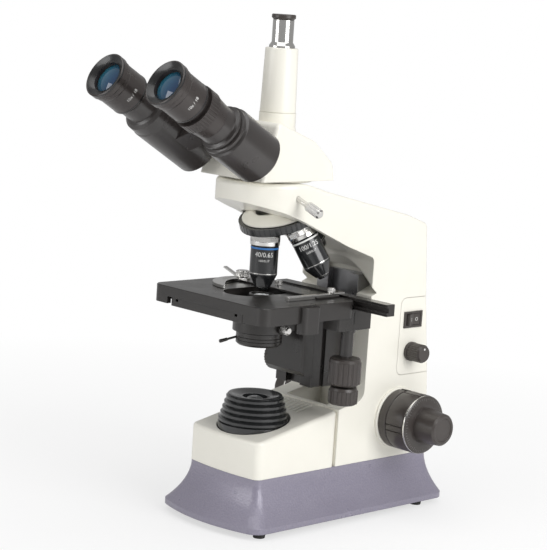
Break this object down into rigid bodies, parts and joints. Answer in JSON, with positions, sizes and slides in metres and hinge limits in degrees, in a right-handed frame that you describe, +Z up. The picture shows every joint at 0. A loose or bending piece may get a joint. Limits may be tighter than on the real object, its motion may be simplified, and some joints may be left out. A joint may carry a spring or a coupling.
{
  "type": "trinocular microscope",
  "caption": "Trinocular laboratory microscope with swinging eyepieces, turning nosepiece, mechanical stage and coaxial focus.",
  "frame": {"origin": "bottom centre of the bounding box, on the table under the instrument", "axes": "+Z up; +Y to the back, the user stands at -Y; +X to the user's right"},
  "size_m": [0.193, 0.3352, 0.41],
  "materials": {
    "cream_paint": "smooth gloss paint, cream white",
    "skirt_paint": "hammered violet grey paint",
    "steel": "bare machined steel",
    "rubber": "matte",
    "black_metal": "black satin coating",
    "black_plastic": "satin black",
    "chrome": "polished",
    "glass": "clear",
    "coated_glass": "blue-green coating",
    "ceramic": "glazed ceramic",
    "board": "circuit board"
  },
  "bodies": {
    "stand": {"base_skirt": "skirt_paint", "bottom_plate": "steel", "feet": "rubber", "lamp_housing": "cream_paint", "arm": "cream_paint", "lens_collar": "black_metal", "field_lens": "glass", "lamp_bulb": "glass", "lamp_socket": "ceramic", "power_board": "board", "electrics_cover": "cream_paint", "switch_frame": "black_plastic", "power_inlet": "black_plastic", "nosepiece_mount": "cream_paint", "focus_bearings": "cream_paint", "guide_rail": "steel"},
    "rocker": {"power_rocker": "black_plastic"},
    "dimmer": {"dimmer_knob": "black_plastic"},
    "tension": {"tension_ring": "black_plastic"},
    "coarse": {"coarse_knobs": "black_plastic", "coarse_shaft": "steel"},
    "fine": {"fine_knobs": "black_plastic", "fine_shaft": "steel"},
    "focus": {"focus_slide": "black_metal", "focus_rack": "steel", "stage_base": "black_metal"},
    "stage_y": {"stage_plate": "black_metal", "drive_housing": "black_metal"},
    "y_knob": {"y_drive_knob": "black_plastic"},
    "x_knob": {"x_drive_knob": "black_plastic"},
    "stage_x": {"x_bar": "black_metal", "holder_plate": "black_metal", "fixed_jaw": "chrome", "holder_screws": "chrome"},
    "clip": {"slide_clip": "chrome"},
    "condenser": {"condenser_carrier": "black_metal", "condenser_body": "black_metal", "condenser_lens": "glass", "condenser_screw": "chrome"},
    "condenser_turner": {"condenser_knob": "black_plastic"},
    "iris": {"iris_ring": "black_metal"},
    "turret": {"turret_disc": "chrome", "turret_grip": "chrome", "objective_4x": "black_metal", "objective_10x": "black_metal", "objective_40x": "black_metal", "objective_100x": "black_metal", "objective_lenses": "glass"},
    "head": {"head_housing": "cream_paint", "photo_tube": "cream_paint", "photo_port": "chrome"},
    "cap": {"photo_cap": "black_plastic"},
    "clamp": {"head_screw": "chrome"},
    "left_arm": {"left_prism_housing": "black_metal"},
    "right_arm": {"right_prism_housing": "black_metal"},
    "dioptre": {"dioptre_ring": "black_plastic"},
    "left_ocular": {"left_eyepiece": "black_plastic", "left_eyepiece_lens": "coated_glass"},
    "right_ocular": {"right_eyepiece": "black_plastic", "right_eyepiece_lens": "coated_glass"}
  },
  "joints": [
    {"name": "rocker_tilt", "type": "hinge", "parent": "stand", "child": "rocker", "pos_m": [0.0385, 0.1258, 0.1615], "axis": [0, 0, 1], "range_deg": [-16, 0]},
    {"name": "dimmer_turn", "type": "hinge", "parent": "stand", "child": "dimmer", "pos_m": [0, 0.1258, 0.134], "axis": [1, 0, 0], "range_deg": [0, 280]},
    {"name": "tension_turn", "type": "hinge", "parent": "stand", "child": "tension", "pos_m": [0, 0.1138, 0.078], "axis": [1, 0, 0], "range_deg": [0, 40]},
    {"name": "focus_lift", "type": "slide", "parent": "stand", "child": "focus", "axis": [0, 0, 1], "range_m": [-0.015, 0.0009]},
    {"name": "coarse_turn", "type": "hinge", "parent": "stand", "child": "coarse", "pos_m": [0, 0.1138, 0.078], "axis": [1, 0, 0], "range_deg": [-10, 145]},
    {"name": "fine_turn", "type": "hinge", "parent": "stand", "child": "fine", "pos_m": [0, 0.1138, 0.078], "axis": [1, 0, 0], "continuous": true},
    {"name": "stage_y_slide", "type": "slide", "parent": "focus", "child": "stage_y", "axis": [0, 1, 0], "range_m": [-0.013, 0.017]},
    {"name": "y_knob_turn", "type": "hinge", "parent": "stage_y", "child": "y_knob", "pos_m": [0.0555, 0.0318, 0], "axis": [0, 0, 1], "range_deg": [-150, 196]},
    {"name": "stage_x_slide", "type": "slide", "parent": "stage_y", "child": "stage_x", "axis": [1, 0, 0], "range_m": [-0.035, 0.029]},
    {"name": "x_knob_turn", "type": "hinge", "parent": "stage_y", "child": "x_knob", "pos_m": [0.0555, 0.0318, 0], "axis": [0, 0, 1], "range_deg": [-375, 312]},
    {"name": "clip_swing", "type": "hinge", "parent": "stage_x", "child": "clip", "pos_m": [-0.045, 0.0068, 0], "axis": [0, 0, 1], "range_deg": [-35, 0]},
    {"name": "condenser_lift", "type": "slide", "parent": "focus", "child": "condenser", "axis": [0, 0, 1], "range_m": [-0.013, 0.0015]},
    {"name": "condenser_knob_turn", "type": "hinge", "parent": "focus", "child": "condenser_turner", "pos_m": [0, 0.0398, 0.125], "axis": [1, 0, 0], "range_deg": [-15, 125]},
    {"name": "iris_turn", "type": "hinge", "parent": "condenser", "child": "iris", "pos_m": [0, -0.0132, 0.15], "axis": [0, 0, 1], "range_deg": [-30, 30]},
    {"name": "turret_turn", "type": "hinge", "parent": "stand", "child": "turret", "pos_m": [0, 0.00494, 0.24165], "axis": [0, 0.3665, -0.9304], "continuous": true},
    {"name": "head_swivel", "type": "hinge", "parent": "stand", "child": "head", "pos_m": [0, -0.0132, 0.28], "axis": [0, 0, 1], "continuous": true},
    {"name": "clamp_turn", "type": "hinge", "parent": "stand", "child": "clamp", "pos_m": [0.041, -0.0192, 0.268], "axis": [0.9397, 0, -0.342], "range_deg": [-180, 0]},
    {"name": "eye_distance", "type": "hinge", "parent": "head", "child": "right_arm", "pos_m": [0, -0.15185, 0.36899], "axis": [0, 0.866, -0.5], "range_deg": [-12, 21.8]},
    {"name": "eye_distance_left", "type": "hinge", "parent": "head", "child": "left_arm", "pos_m": [0, -0.15185, 0.36899], "axis": [0, 0.866, -0.5], "range_deg": [-21.8, 12]},
    {"name": "dioptre_turn", "type": "hinge", "parent": "right_arm", "child": "dioptre", "pos_m": [0.035, -0.1586, 0.3573], "axis": [0, 0.866, -0.5], "range_deg": [-90, 90]},
    {"name": "left_eyepiece_lift", "type": "slide", "parent": "left_arm", "child": "left_ocular", "axis": [0, -0.866, 0.5], "range_m": [0, 0.03]},
    {"name": "right_eyepiece_lift", "type": "slide", "parent": "right_arm", "child": "right_ocular", "axis": [0, -0.866, 0.5], "range_m": [0, 0.03]},
    {"name": "cap_lift", "type": "slide", "parent": "head", "child": "cap", "axis": [0, 0, 1], "range_m": [0, 0.03]}
  ],
  "couplings": [
    {"joint": "coarse_turn", "follows": "focus_lift", "rad_per_m": -166.67},
    {"joint": "y_knob_turn", "follows": "stage_y_slide", "rad_per_m": 200},
    {"joint": "x_knob_turn", "follows": "stage_x_slide", "rad_per_m": 185.19},
    {"joint": "condenser_knob_turn", "follows": "condenser_lift", "rad_per_m": -166.67},
    {"joint": "eye_distance_left", "follows": "eye_distance", "ratio": -1}
  ]
}
